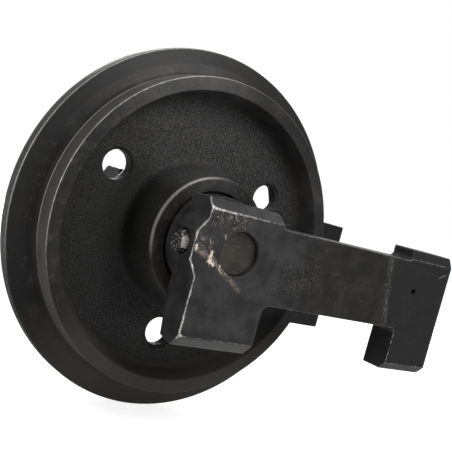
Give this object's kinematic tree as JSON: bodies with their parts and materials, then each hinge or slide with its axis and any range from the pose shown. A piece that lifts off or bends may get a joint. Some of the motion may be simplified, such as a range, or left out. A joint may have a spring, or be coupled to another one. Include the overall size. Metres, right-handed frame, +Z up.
{
  "type": "excavator front idler",
  "caption": "Flanged track idler wheel running on bushes and face seals about a fixed shaft, held by forged support brackets whose end blocks meet the track adjuster.",
  "frame": {"origin": "centre of the wheel on the shaft's axis, midway between the brackets", "axes": "+X along the brackets' arms towards the track adjuster, +Y along the shaft towards the oil plug, +Z up"},
  "size_m": [0.4979, 0.244, 0.39],
  "materials": {
    "wheel_paint": "black satin paint on shot-blasted casting, bright on worn edges",
    "bracket_paint": "black satin paint, rubbed through on the outer face and edges",
    "shaft_steel": "turned steel with a brown oil film",
    "bolt_steel": "plain steel with grease",
    "seal_steel": "lapped steel",
    "bush_bronze": "turned bronze",
    "seal_rubber": "matt"
  },
  "bodies": {
    "carrier": {"axle_shaft": "shaft_steel", "near_bracket": "bracket_paint", "far_bracket": "bracket_paint", "near_bracket_seal_ring": "seal_steel", "far_bracket_seal_ring": "seal_steel", "near_bracket_toric": "seal_rubber", "far_bracket_toric": "seal_rubber", "near_shaft_o_ring": "seal_rubber", "far_shaft_o_ring": "seal_rubber", "near_lock_bolt": "bolt_steel", "far_lock_bolt": "bolt_steel", "near_lock_washer": "bolt_steel", "far_lock_washer": "bolt_steel", "oil_plug": "bolt_steel", "plug_washer": "bush_bronze"},
    "wheel": {"idler_wheel": "wheel_paint", "near_bush": "bush_bronze", "far_bush": "bush_bronze", "near_hub_seal_ring": "seal_steel", "far_hub_seal_ring": "seal_steel", "near_hub_toric": "seal_rubber", "far_hub_toric": "seal_rubber"}
  },
  "joints": [
    {"name": "wheel_spin", "type": "hinge", "parent": "carrier", "child": "wheel", "pos_m": [0, 0, 0], "axis": [0, 1, 0], "continuous": true}
  ]
}
